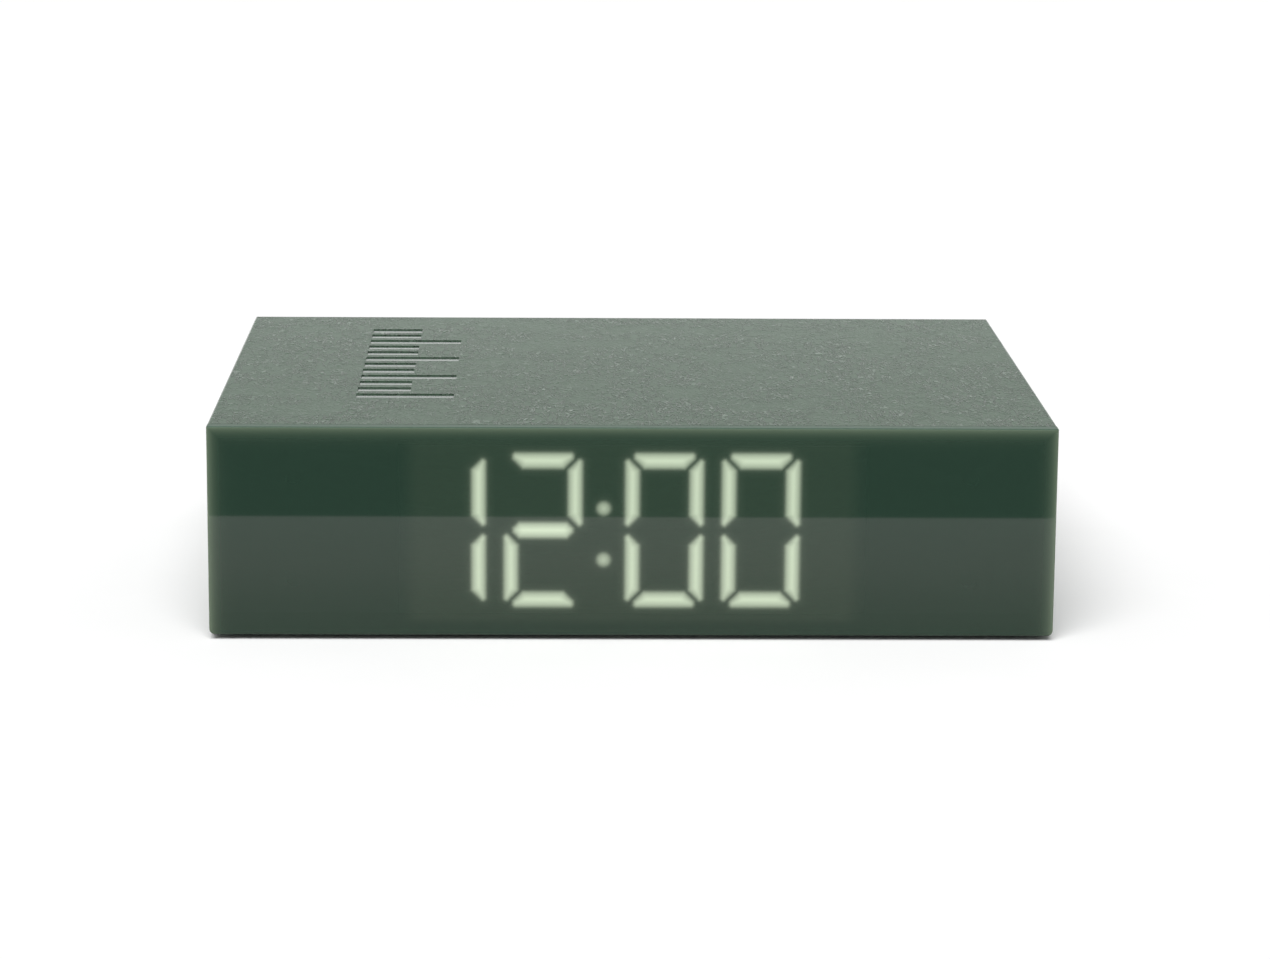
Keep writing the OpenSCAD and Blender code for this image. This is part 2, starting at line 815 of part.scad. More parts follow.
// Light pipes of the lit segments and of the colon
module lit_segments() {
    color([0.85, 0.95, 0.8]) facing(y_guide, pipe_l) {
        segments(true);
        colon();
    }
}

// Light pipes of the segments that are off
module dark_segments() {
    color([0.5, 0.55, 0.5]) facing(y_guide, pipe_l) segments(false);
}

// Thin milky film between the light guide and the lens
module diffuser_film() {
    color([0.8, 0.85, 0.8])
        block([-guide_w / 2, y_film, z_floor + fit], [guide_w / 2, y_guide, z_ceil - fit]);
}

// Board behind the light guide that carries the LED chips
module display_board() {
    color([0.1, 0.3, 0.18]) difference() {
        block([-dboard_w / 2, y_dboard, z_mid - dboard_h / 2],
              [dboard_w / 2, y_dboard + dboard_t, z_mid + dboard_h / 2]);
        for (s = [-1, 1]) rod(s * spacer_x, y_dboard - 1, z_mid, dscrew_r + fit, dboard_t + 2);
    }
}

// One chip for each segment and each dot
module led_chips() {
    color([0.95, 0.93, 0.75]) {
        for (d = [0 : 3]) for (p = led_at) led(digit_x[d] + p[0], z_mid + p[1], led_w);
        for (s = [-1, 1]) led(colon_x, z_mid - colon_drop + s * dot_dz, led_h);
    }
}

module led(x, z, w) {
    block([x - w / 2, y_dboard - led_t, z - led_h / 2], [x + w / 2, y_dboard, z + led_h / 2]);
}

// Two screws that hold the display board to the light guide
module display_screws() {
    color([0.6, 0.6, 0.62]) for (s = [-1, 1])
        translate([s * spacer_x, y_rsock + dscrew_head_t, z_mid]) rotate([90, 0, 0])
            screw(dscrew_r, dscrew_l + dboard_t - screw_end, dscrew_head, dscrew_head_t,
                  fine_l, fine_w, fine_d);
}

// Flat cable from the display board to the main board, in one easy bend
module display_ribbon() {
    y0 = y_rsock + rsock_t;
    run = msock_y - y0 - 2 * ribbon_end;
    drop = ribbon_low - ribbon_z;
    bend = [for (i = [0 : ribbon_steps]) let (s = i / ribbon_steps)
            [y0 + ribbon_end + s * run, ribbon_z + drop * (1 - cos(180 * s)) / 2]];
    color([0.88, 0.88, 0.86]) across(ribbon_w)
        band(concat([[y0, ribbon_z]], bend, [[msock_y, ribbon_low]]), ribbon_t);
}

// One socket for the ribbon on each board
module ribbon_sockets() {
    color([0.9, 0.88, 0.8]) {
        block([-rsock_w / 2, y_rsock, ribbon_z - rsock_h / 2],
              [rsock_w / 2, y_rsock + rsock_t, ribbon_z + rsock_h / 2]);
        block([-rsock_w / 2, msock_y, z_board], [rsock_w / 2, msock_y + msock_d, z_board + msock_h]);
    }
}

// Board on the four posts, with a hole for each screw
module main_board() {
    color([0.1, 0.3, 0.18]) difference() {
        block([-mboard_x, mboard_y0, post_top], [mboard_x, mboard_y1, z_board]);
        at_posts() translate([0, 0, post_top - 1]) cylinder(r = bscrew_r + fit, h = mboard_t + 2);
    }
}

// Four screws through the main board into its posts
module board_screws() {
    color([0.6, 0.6, 0.62]) at_posts() translate([0, 0, z_board + bscrew_head_t]) rotate([180, 0, 0])
        screw(bscrew_r, mboard_t + bscrew_l - screw_end, bscrew_head, bscrew_head_t,
              fine_l, fine_w, fine_d);
}

// Flat chip with a row of legs on each side
module processor_chip() {
    color([0.08, 0.08, 0.09]) translate([0, mboard_y0 + chip_y, z_board]) {
        translate([0, 0, chip_lift + chip_t / 2]) cube([chip_w, chip_d, chip_t], center = true);
        for (s = [-1, 1]) for (i = [-leg_n : leg_n])
            translate([i * leg_pitch, s * (chip_d + leg_l / 2) / 2, leg_t / 2])
                cube([leg_w, leg_l, leg_t], center = true);
    }
}

// Small can that keeps the time
module crystal() {
    color([0.75, 0.75, 0.77]) translate([xtal_x, mboard_y0 + xtal_y, z_board])
        linear_extrude(xtal_h) stadium(xtal_w, xtal_d);
}

// Upright capacitor of the supply, with a groove near its foot
module capacitor() {
    color([0.12, 0.14, 0.2]) translate([can_x, mboard_y0 + can_y, z_board]) rotate_extrude()
        polygon([[0, 0], [can_r, 0], [can_r, can_foot], [can_r - can_groove, can_foot + can_neck / 2],
                 [can_r, can_foot + can_neck], [can_r, can_h], [0, can_h]]);
}

// Lying can with a spring inside that answers to a tap on the case
module tap_sensor() {
    color([0.72, 0.6, 0.3]) translate([tap_x, mboard_y0 + tap_y, z_board]) {
        translate([-tap_l / 2, -tap_r, 0]) cube([tap_l, 2 * tap_r, tap_r]);
        translate([-tap_l / 2, 0, tap_r]) rotate([0, 90, 0]) cylinder(r = tap_r, h = tap_l);
    }
}

// Housings of the four push switches, each with a bore for its plunger
module switch_bodies() {
    color([0.1, 0.1, 0.11]) for (x = button_x) difference() {
        block([x - sw_w / 2, y_switch - sw_d, z_board], [x + sw_w / 2, y_switch, z_board + sw_h]);
        rod(x, y_stem - plunger_l - press - plunger_room, key_z, plunger_r + plunger_gap,
            plunger_l + press + 1);
    }
}

// Round button at position i, with a flange that keeps it in the wall
module button(i) {
    x = button_x[i];
    rod(x, y_stem, key_z, stem_r, stem_l + eps);
    rod(x, y_flange - cap_flange_t, key_z, cap_flange_r, cap_flange_t);
    l = frame_y + cap_proud - y_flange + eps;
    translate([x, y_flange - eps, key_z]) rotate([-90, 0, 0]) rotate_extrude()
        soft_rect(0, 0, cap_r, l, [0, 0, cap_edge, 0]);
}

// Sunk bar on the face of button i
module legend(i, w, h) {
    y = frame_y + cap_proud;
    block([button_x[i] - w / 2, y - legend_d, key_z - h / 2], [button_x[i] + w / 2, y + 1, key_z + h / 2]);
}

// Plunger between button i and its switch
module plunger(i) {
    rod(button_x[i], y_stem - plunger_l, key_z, plunger_r, plunger_l);
}

module set_button() {
    color([0.2, 0.25, 0.22]) difference() {
        button(3);
        rod(button_x[3], frame_y + cap_proud - legend_d, key_z, legend_l / 2, 2);
    }
}

module set_plunger() {
    color([0.85, 0.85, 0.82]) plunger(3);
}

module alarm_button() {
    color([0.2, 0.25, 0.22]) difference() {
        button(2);
        for (s = [-1, 1]) translate([0, 0, s * legend_w]) legend(2, legend_l, legend_w);
    }
}

module alarm_plunger() {
    color([0.85, 0.85, 0.82]) plunger(2);
}

module plus_button() {
    color([0.2, 0.25, 0.22]) difference() {
        button(1);
        legend(1, legend_l, legend_w);
        legend(1, legend_w, legend_l);
    }
}

module plus_plunger() {
    color([0.85, 0.85, 0.82]) plunger(1);
}

module minus_button() {
    color([0.2, 0.25, 0.22]) difference() {
        button(0);
        legend(0, legend_l, legend_w);
    }
}

module minus_plunger() {
    color([0.85, 0.85, 0.82]) plunger(0);
}

// Housing of the slide switch, with a slot for its lever
module slide_body() {
    x = knob_x + slide_travel / 2;
    y = y_stem - slide_show;
    s = (slide_travel + lever_w) / 2 + slide_play;
    h = lever_w / 2 + slide_play;
    color([0.7, 0.7, 0.72]) difference() {
        block([x - slide_w / 2, y - slide_d, z_board], [x + slide_w / 2, y, z_board + slide_h]);
        block([x - s, y - slide_slot, key_z - h], [x + s, y + 1, key_z + h]);
    }
}

// Knob of the alarm switch, with a plate that keeps its slot covered
module alarm_slider() {
    y = y_flange - knob_base_t;
    color([0.8, 0.82, 0.8]) difference() {
        union() {
            translate([knob_x, y + knob_base_t / 2, key_z])
                cube([knob_base_w, knob_base_t, knob_base_h], center = true);
            block([knob_x - knob_w / 2, y, key_z - knob_h / 2],
                  [knob_x + knob_w / 2, frame_y + knob_proud, key_z + knob_h / 2]);
            block([knob_x - sock_w / 2, y - sock_t, key_z - sock_w / 2],
                  [knob_x + sock_w / 2, y + eps, key_z + sock_w / 2]);
        }
        translate([knob_x, y - sock_t / 2 - 0.5, key_z])
            cube([lever_w + 2 * lever_gap, sock_t + 1, lever_w + 2 * lever_gap], center = true);
        for (i = [-1 : 1]) translate([knob_x + i * grip_pitch, frame_y + knob_proud, key_z])
            cube([grip_rib, 2 * grip_rib, knob_h + 1], center = true);
    }
}

// Lever of the slide switch, held in the knob
module slide_lever() {
    y = y_flange - knob_base_t - lever_gap;
    color([0.1, 0.1, 0.11]) block([knob_x - lever_w / 2, y - lever_l, key_z - lever_w / 2],
                                  [knob_x + lever_w / 2, y, key_z + lever_w / 2]);
}

// Metal shell of the supply inlet, open to the rear
module usb_shell() {
    color([0.75, 0.75, 0.77]) difference() {
        facing(usb_y - usb_l, usb_l) translate([usb_x, usb_z]) stadium(usb_w, usb_h);
        facing(usb_y - usb_l + usb_back, usb_l) translate([usb_x, usb_z])
            stadium(usb_w - 2 * usb_t, usb_h - 2 * usb_t);
    }
}

// Contact tongue inside the inlet
module usb_tongue() {
    y0 = usb_y - usb_l + usb_back;
    color([0.08, 0.08, 0.09]) block([usb_x - tongue_w / 2, y0, usb_z - tongue_h / 2],
                                    [usb_x + tongue_w / 2, usb_y - tongue_short, usb_z + tongue_h / 2]);
}

module at_speaker() {
    translate([speaker_x, speaker_y, z_floor]) children();
}

// Pressed basket that faces the holes in the base
module speaker_basket() {
    r = speaker_r;
    color([0.3, 0.3, 0.32]) at_speaker() rotate_extrude()
        polygon([[r - speaker_rim, 0], [r, 0], [r, rim_t], [r - rim_in, rim_t], [back_r, speaker_h],
                 [0, speaker_h], [0, speaker_h - basket_t], [back_r - basket_skin, speaker_h - basket_t],
                 [r - speaker_rim, rim_low]]);
}

// Paper cone with its dust cap
module speaker_cone() {
    r = speaker_r - speaker_rim;
    flat = r - cone_flat;
    cap = r * cap_share;
    color([0.1, 0.1, 0.1]) at_speaker() rotate_extrude()
        polygon([[r, cone_z], [flat, cone_z], [cap, cone_top], [0, cap_z], [0, cap_z + cone_t],
                 [cap, cone_top + cone_t], [flat, cone_z + cone_t], [r, cone_z + cone_t]]);
}

module speaker_magnet() {
    color([0.35, 0.35, 0.38]) at_speaker() translate([0, 0, speaker_h]) cylinder(r = magnet_r, h = magnet_h);
}

// Two wires from the speaker to the main board
module speaker_lead() {
    x = speaker_x + (magnet_r + back_r) / 2;
    z = z_floor + speaker_h;
    color([0.6, 0.1, 0.1]) for (s = [0, 1]) {
        high = z_board + lead_high + s * lead_step;
        from = speaker_y + (1 - 2 * s) * lead_apart;
        to = mboard_y0 + pad_y + s * pad_step;
        wire([[x, from, z], [x, from, high], [pad_x, from, high], [pad_x, to, high], [pad_x, to, z_board]],
             lead_r);
    }
}

// Two wires from the end contacts of the bay to the main board
module battery_lead() {
    x = bay_x + bay_wall + lead_out;
    y = mboard_y0 + lead_in;
    color([0.6, 0.1, 0.1]) {
        wire([[bay_x, cell_y[2], lead_z], [x, cell_y[2], lead_z], [x, cell_y[2], post_top]], lead_r);
        wire([[-bay_x, cell_y[0], lead_z], [-x, cell_y[0], lead_z], [-x, y, lead_z], [-x, y, post_top]],
             lead_r);
    }
}

// Three cells side by side, turned end for end
module battery_cells() {
    color([0.25, 0.25, 0.28]) for (i = [0 : cell_n - 1]) translate([0, cell_y[i], cell_z])
        rotate([0, 90 * cell_dir[i], 0]) translate([0, 0, bay_x - contact_t - cell_l]) {
            cylinder(d = cell_d, h = cell_l - nub_l);
            cylinder(r = nub_r, h = cell_l);
        }
}

// Flat contact at the nub of each cell
module plate_contacts() {
    color([0.8, 0.78, 0.7]) for (i = [0 : cell_n - 1])
        translate([cell_dir[i] * (bay_x - contact_t / 2), cell_y[i], cell_z])
            cube([contact_t, contact_w, contact_h], center = true);
}

// Bent leaf that presses on the flat end of each cell
module leaf_contacts() {
    reach = contact_t + leaf_l - leaf_t / 2;
    color([0.8, 0.78, 0.7]) for (i = [0 : cell_n - 1])
        translate([-cell_dir[i] * bay_x, cell_y[i], cell_z]) mirror([cell_dir[i] > 0 ? 0 : 1, 0, 0]) {
            translate([contact_t / 2, 0, 0]) cube([contact_t, contact_w, contact_h], center = true);
            translate([0, 0, -leaf_h / 2]) linear_extrude(leaf_h)
                strip([[contact_t / 2, -leaf_root], [reach, leaf_peak], [reach - leaf_back, leaf_tip]],
                      leaf_t);
        }
}

front_lens();
top_cover();
page_frame();
base_cover();
battery_door();
rubber_feet();
case_screws();
light_guide();
lit_segments();
dark_segments();
diffuser_film();
display_board();
led_chips();
display_screws();
display_ribbon();
ribbon_sockets();
main_board();
board_screws();
processor_chip();
crystal();
capacitor();
tap_sensor();
switch_bodies();
set_button();
set_plunger();
alarm_button();
alarm_plunger();
plus_button();
plus_plunger();
minus_button();
minus_plunger();
slide_body();
alarm_slider();
slide_lever();
usb_shell();
usb_tongue();
speaker_basket();
speaker_cone();
speaker_magnet();
speaker_lead();
battery_lead();
battery_cells();
plate_contacts();
leaf_contacts();
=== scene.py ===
# %% [markdown]
# # A book-shaped alarm clock
# The clock lies flat like a small hardback. Its spine is a glossy strip of dark green acrylic,
# and the time shines through it. The solids come from a CAD model, which Blender loads as a
# fixed frame. This lesson gives each of them its finish, adds the film that glows behind the
# spine, and sets up a small studio. Blender works in metres, so small sizes are written in
# millimetres and multiplied by `MM`.

import math

import bpy
import numpy as np
from mathutils import Euler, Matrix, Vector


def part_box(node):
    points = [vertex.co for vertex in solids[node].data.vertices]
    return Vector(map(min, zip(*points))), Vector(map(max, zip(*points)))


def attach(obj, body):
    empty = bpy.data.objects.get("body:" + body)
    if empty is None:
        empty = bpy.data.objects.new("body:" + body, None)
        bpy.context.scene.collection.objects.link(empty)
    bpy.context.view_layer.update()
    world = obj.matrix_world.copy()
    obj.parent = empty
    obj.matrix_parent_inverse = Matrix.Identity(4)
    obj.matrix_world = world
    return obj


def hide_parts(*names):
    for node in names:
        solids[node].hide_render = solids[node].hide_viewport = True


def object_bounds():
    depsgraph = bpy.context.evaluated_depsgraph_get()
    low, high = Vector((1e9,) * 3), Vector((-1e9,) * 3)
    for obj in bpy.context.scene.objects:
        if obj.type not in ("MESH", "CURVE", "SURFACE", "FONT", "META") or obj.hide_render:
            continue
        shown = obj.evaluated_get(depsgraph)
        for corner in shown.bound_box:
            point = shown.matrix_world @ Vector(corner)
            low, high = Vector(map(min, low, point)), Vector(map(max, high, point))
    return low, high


MM = 0.001

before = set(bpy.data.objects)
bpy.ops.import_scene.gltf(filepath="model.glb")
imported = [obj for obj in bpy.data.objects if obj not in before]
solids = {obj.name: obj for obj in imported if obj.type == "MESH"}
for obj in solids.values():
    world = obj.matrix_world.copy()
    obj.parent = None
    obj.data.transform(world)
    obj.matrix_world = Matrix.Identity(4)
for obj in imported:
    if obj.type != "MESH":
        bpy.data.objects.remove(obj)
cad_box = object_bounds()
scene = bpy.context.scene
scene.view_settings.view_transform = "Standard"
print(f"{len(solids)} solids, {[round(v / MM, 1) for v in cad_box[1] - cad_box[0]]} mm")

# %% [markdown]
# ## Colours and nodes
# Paint charts and pictures give colours as sRGB hex values, but a shader counts light, which is
# linear. One function does that step for every colour here. A second one adds a shader node with
# its settings and links, so that a material reads as a short list of what feeds what. A third
# starts a material with one Principled shader, because nearly all real finishes are a colour
# under a clear reflection.

# %% Helpers for materials
# The colour sockets of a Mix node share their names with its other sockets, so they go by number.
MIX_A = 6
MIX_B = 7
MIX_RESULT = 2


def linear(hex_colour):
    """An sRGB hex colour such as "#2A3D32" as linear red, green, blue and alpha."""
    parts = [int(hex_colour[i : i + 2], 16) / 255 for i in (1, 3, 5)]
    return (*[p / 12.92 if p <= 0.04045 else ((p + 0.055) / 1.055) ** 2.4 for p in parts], 1.0)


def add(tree, kind, sockets=None, **settings):
    """Adds a node. A socket's value is a constant, or the output that is linked to it."""
    node = tree.nodes.new("ShaderNode" + kind)
    for name, value in settings.items():
        setattr(node, name, value)
    for name, value in (sockets or {}).items():
        if isinstance(value, bpy.types.NodeSocket):
            tree.links.new(value, node.inputs[name])
        else:
            node.inputs[name].default_value = value
    return node


def new_finish(name, **sockets):
    """A material with one Principled shader. Socket names are given with _ for a space."""
    material = bpy.data.materials.new(name)
    material.use_nodes = True
    tree = material.node_tree
    tree.nodes.clear()
    values = {socket.replace("_", " "): value for socket, value in sockets.items()}
    shader = add(tree, "BsdfPrincipled", values)
    add(tree, "OutputMaterial", {"Surface": shader.outputs["BSDF"]})
    return material, tree, shader


def per_mm(size):
    """Texture scale at which one feature is this many millimetres wide."""
    return 1 / (size * MM)


def dress(material, *names):
    """Gives these solids one material."""
    for name in names:
        solids[name].data.materials.clear()
        solids[name].data.materials.append(material)
    print(f"{material.name}: {', '.join(names)}")


print("white is", linear("#FFFFFF"), "and a mid grey", round(linear("#808080")[0], 3))


# %% [markdown]
# ## Moulded plastic
# Most pieces of the clock are moulded ABS. A mould is never quite smooth: it is spark-eroded or
# etched, which leaves a fine grain, and the plastic flows with faint changes of tone. Three
# textures would do, but one noise can drive all of it: the colour runs between two close shades,
# the gloss between two close values, and the same noise lifts the surface by a few microns. Each
# use of this function states the size of the grain and how deep it is.

# %% A function for moulded grain
# A noise seldom leaves the span between these two values, so the shades are spread over it.
NOISE_LOW = 0.3
NOISE_HIGH = 0.7


def mould_grain(tree, shader, shades, gloss, grain, depth, stretch=(1, 1, 1)):
    """Links one noise to a shader: two shades, two roughness values, grain and depth in mm."""
    place = add(tree, "TexCoord")
    spot = add(tree, "Mapping", {"Vector": place.outputs["Object"], "Scale": stretch})
    noise = add(
        tree,
        "TexNoise",
        {"Vector": spot.outputs["Vector"], "Scale": per_mm(grain), "Detail": 3.0},
    )
    tone = add(tree, "ValToRGB", {"Fac": noise.outputs["Fac"]})
    tone.color_ramp.elements[0].position = NOISE_LOW
    tone.color_ramp.elements[0].color = linear(shades[0])
    tone.color_ramp.elements[1].position = NOISE_HIGH
    tone.color_ramp.elements[1].color = linear(shades[1])
    rough = add(
        tree,
        "MapRange",
        {"Value": noise.outputs["Fac"], "To Min": gloss[0], "To Max": gloss[1]},
    )
    relief = add(tree, "Bump", {"Height": noise.outputs["Fac"], "Distance": depth * MM})
    tree.links.new(tone.outputs["Color"], shader.inputs["Base Color"])
    tree.links.new(rough.outputs["Result"], shader.inputs["Roughness"])
    tree.links.new(relief.outputs["Normal"], shader.inputs["Normal"])


print(f"shades run from noise {NOISE_LOW} to {NOISE_HIGH}")


# %% [markdown]
# ## The spine
# The spine is a strip of smoked acrylic, polished on the front. Its dye is so dense that little
# light gets through: 8 percent here. Glass with absorption inside would be slow and noisy, and
# its colour would depend on what lies behind, while a dense dye also scatters light and has a
# colour of its own. So the front is a dark glossy paint, mixed with a little plain transparency.
# Daylight runs along inside a polished sheet and leaves at its edges, so the rim is paler. Light
# from the display strays in the sheet too, so the part over the window has a faint even haze.

# %% Smoked acrylic, paler towards its rim
RIM = 0.75 * MM
RIM_SIDE = cad_box[1].x
RIM_TOP = cad_box[1].z

smoked, tree, shader = new_finish(
    "smoked acrylic", IOR=1.49, Roughness=0.03, Emission_Strength=1.0
)
place = add(tree, "TexCoord")
axes = add(tree, "SeparateXYZ", {"Vector": place.outputs["Object"]})
across = add(tree, "Math", {0: axes.outputs["X"]}, operation="ABSOLUTE")
to_side = add(tree, "Math", {0: RIM_SIDE, 1: across.outputs[0]}, operation="SUBTRACT")
to_top = add(tree, "Math", {0: RIM_TOP, 1: axes.outputs["Z"]}, operation="SUBTRACT")
inside = add(tree, "Math", {0: to_side.outputs[0], 1: to_top.outputs[0]}, operation="MINIMUM")
fade = add(tree, "Math", {0: inside.outputs[0], 1: -1 / RIM}, operation="MULTIPLY")
rim = add(tree, "Math", {0: fade.outputs[0]}, operation="EXPONENT")
# Painted glow: the base colour runs from the dark dye to a paler green towards the rim, for
# daylight that leaves the sheet at its edges.
dye_and_rim_glow = add(
    tree,
    "Mix",
    {"Factor": rim.outputs[0], MIX_A: linear("#293D32"), MIX_B: linear("#6A7A66")},
    data_type="RGBA",
)
tree.links.new(dye_and_rim_glow.outputs[MIX_RESULT], shader.inputs["Base Color"])
print(f"the rim falls to a third within {RIM / MM} mm")

# %% Haze over the window
HAZE_FADE = 3.6 * MM
film_low, film_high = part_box("diffuser_film")
WINDOW_MIDDLE = (film_low.z + film_high.z) / 2
WINDOW_HALF = (film_high.z - film_low.z) / 2

window_x = add(
    tree,
    "MapRange",
    {"Value": across.outputs[0], "From Min": film_high.x, "From Max": film_high.x - HAZE_FADE},
    interpolation_type="SMOOTHSTEP",
)
height = add(tree, "Math", {0: axes.outputs["Z"], 1: WINDOW_MIDDLE}, operation="SUBTRACT")
off_middle = add(tree, "Math", {0: height.outputs[0]}, operation="ABSOLUTE")
window_z = add(
    tree,
    "MapRange",
    {
        "Value": off_middle.outputs[0],
        "From Min": WINDOW_HALF + HAZE_FADE / 2,
        "From Max": WINDOW_HALF,
    },
    interpolation_type="SMOOTHSTEP",
)
window = add(
    tree, "Math", {0: window_x.outputs[0], 1: window_z.outputs[0]}, operation="MULTIPLY"
)
# Painted glow: this emission over the window stands in for display light that strays inside the
# sheet.
stray_light_glow = add(
    tree,
    "Mix",
    {"Factor": window.outputs[0], MIX_A: linear("#000000"), MIX_B: linear("#1A1B14")},
    data_type="RGBA",
)
tree.links.new(stray_light_glow.outputs[MIX_RESULT], shader.inputs["Emission Color"])
print(f"window {(film_high.x - film_low.x) / MM:.1f} x {2 * WINDOW_HALF / MM:.1f} mm")

# %% Polish of the spine, and what it lets through
# Polished sheet is not quite flat: long ripples, a few microns high, bend what it reflects.
SPINE_SHOWS = 0.08
RIPPLE = 20
RIPPLE_HIGH = 0.004


def let_through(tree, shader, share):
    """Mixes this share of plain transparency into a material."""
    clear = add(tree, "BsdfTransparent")
    body = add(
        tree, "MixShader", {"Fac": share, 1: shader.outputs["BSDF"], 2: clear.outputs["BSDF"]}
    )
    tree.links.new(body.outputs["Shader"], tree.nodes["Material Output"].inputs["Surface"])


ripple = add(
    tree,
    "TexNoise",
    {"Vector": place.outputs["Object"], "Scale": per_mm(RIPPLE), "Detail": 0.0},
)
wave = add(tree, "Bump", {"Height": ripple.outputs["Fac"], "Distance": RIPPLE_HIGH * MM})
tree.links.new(wave.outputs["Normal"], shader.inputs["Normal"])
let_through(tree, shader, SPINE_SHOWS)
dress(smoked, "front_lens")
print(f"the spine lets {SPINE_SHOWS:.0%} of the light through")

# %% [markdown]
# Light has to cross the spine once, not twice. The solid has a front and a back, and both would
# dim what lies behind if they had the same finish. The polished front keeps the smoked finish,
# and the pocket at the back, which holds the display, is clear. Round the pocket, the back is
# printed with dark ink, as on any lens of a display, so that the case behind does not show. The
# upper edge was sawn and sanded, so it is dull where the front is bright.

# %% Clear pocket, printed back and sanded edge of the spine
SPINE_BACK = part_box("page_frame")[0].y
POCKET_PLAY = 0.3 * MM
POCKET_SHOWS = 0.98
SLOPES_UP = 0.3


def paint_faces(name, material, chosen):
    """Adds a material to a solid, on the faces for which chosen(middle, normal) holds."""
    mesh = solids[name].data
    mesh.materials.append(material)
    hits = [face for face in mesh.polygons if chosen(face.center, face.normal)]
    for face in hits:
        face.material_index = len(mesh.materials) - 1
    print(f"{name}: {len(hits)} of {len(mesh.polygons)} faces are {material.name}")


def in_pocket(middle, normal):
    return (
        film_low.x - POCKET_PLAY < middle.x < film_high.x + POCKET_PLAY
        and film_low.z - POCKET_PLAY < middle.z < film_high.z + POCKET_PLAY
        and film_low.y - POCKET_PLAY < middle.y < SPINE_BACK - POCKET_PLAY
    )


def on_upper_edge(middle, normal):
    return middle.z > RIM_TOP - RIM and normal.z > SLOPES_UP


ink, tree, shader = new_finish("screen-printed ink", IOR=1.5)
mould_grain(tree, shader, ("#1E2A23", "#202C25"), (0.5, 0.6), grain=8, depth=0.001)
paint_faces("front_lens", ink, lambda middle, normal: middle.y > SPINE_BACK - POCKET_PLAY)

clear_back, tree, shader = new_finish("clear acrylic", IOR=1.49, Roughness=0.1)
mould_grain(tree, shader, ("#10140F", "#161C15"), (0.1, 0.2), grain=2, depth=0.002)
let_through(tree, shader, POCKET_SHOWS)
paint_faces("front_lens", clear_back, in_pocket)

sanded, tree, shader = new_finish("sanded acrylic", IOR=1.49, Specular_IOR_Level=0.2)
mould_grain(tree, shader, ("#3A5042", "#445A4B"), (0.42, 0.5), grain=0.4, depth=0.01)
paint_faces("front_lens", sanded, on_upper_edge)

# %% [markdown]
# ## The glow of the digits
# Behind the spine lies a milky film, and behind that are the light pipes of the lit segments. The
# film spreads each segment's light a little, so a bar is bright along its middle and fades out
# over about a millimetre. A blur after the render would do that, but it would not be part of the
# model. A shader could work out the distance to each bar, with a great many nodes. Here the film
# becomes a fine grid, and every point stores how much light reaches it. The outlines are read off
# the front faces of the lit segments, so the glow always follows the solids.

# %% Outlines of the lit segments
# A face counts as facing a way when its normal goes at least this far that way. An edge that only
# one front face has is part of an outline. Places are rounded to a tenth of a micron to compare.
FACING = 0.9
SAME_PLANE = 0.01 * MM
DECIMALS = 7

segments = solids["lit_segments"].data
front = min(v.co.y for v in segments.vertices)
counts = {}
for face in segments.polygons:
    if face.normal.y < -FACING and abs(face.center.y - front) < SAME_PLANE:
        points = [segments.vertices[i].co for i in face.vertices]
        ring = [(round(v.x, DECIMALS), round(v.z, DECIMALS)) for v in points]
        for a, b in zip(ring, ring[1:] + ring[:1]):
            ends = tuple(sorted((a, b)))
            counts[ends] = counts.get(ends, 0) + 1
edges = np.array([ends for ends, n in counts.items() if n == 1])
print(f"{len(edges)} outline edges, at y = {front / MM:.2f} mm")

# %% Distance from each point of the film to the outlines
FILM_STEP = 0.2 * MM

xs = np.linspace(film_low.x, film_high.x, round((film_high.x - film_low.x) / FILM_STEP) + 1)
zs = np.linspace(film_low.z, film_high.z, round((film_high.z - film_low.z) / FILM_STEP) + 1)
grid = np.stack(np.meshgrid(xs, zs), axis=-1).reshape(-1, 2)
nearest = np.full(len(grid), np.inf)
crossings = np.zeros(len(grid), int)
for a, b in edges:
    along = b - a
    share = np.clip((grid - a) @ along / (along @ along), 0, 1)
    nearest = np.minimum(nearest, np.linalg.norm(grid - a - share[:, None] * along, axis=1))
    spans = (a[1] > grid[:, 1]) != (b[1] > grid[:, 1])
    rise = along[1] if along[1] else np.inf
    crossings += spans & (grid[:, 0] < a[0] + (grid[:, 1] - a[1]) / rise * along[0])
depth = np.where(crossings % 2, nearest, -nearest) / MM
print(f"{len(grid)} points, {np.count_nonzero(depth > 0)} of them over a lit segment")

# %% Light that reaches the film
# Share of the full light at each depth inside a bar, in mm; negative depths lie outside it. The
# dots of the colon are dimmer and the middle bars a little brighter. Only the round dots have
# edges shorter than DOT_EDGE, which is how they are found.
GLOW_DEPTH = (-1.5, -0.6, -0.3, 0.0, 0.2, 0.5, 0.8, 1.2)
GLOW_SHARE = (0.0, 0.015, 0.06, 0.3, 0.52, 0.7, 0.84, 1.0)
COLON_SHARE = 0.72
COLON_HALF = 2 * MM
DOT_EDGE = 0.25 * MM
MIDDLE_SHARE = 1.1
MIDDLE_HALF = 1.6 * MM
DIGIT_TINT = linear("#F0FFE0")[:3]

glow = np.interp(depth, GLOW_DEPTH, GLOW_SHARE)
dots = [e for e in edges if np.linalg.norm(e[1] - e[0]) < DOT_EDGE]
colon_x = np.mean([e[:, 0] for e in dots])
glow[np.abs(grid[:, 0] - colon_x) < COLON_HALF] *= COLON_SHARE
middle_z = (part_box("lit_segments")[0].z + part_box("lit_segments")[1].z) / 2
glow[np.abs(grid[:, 1] - middle_z) < MIDDLE_HALF] *= MIDDLE_SHARE
light = glow[:, None] * np.array(DIGIT_TINT)
print(f"colon at x = {colon_x / MM:.2f} mm, brightest point {light.max():.2f}")

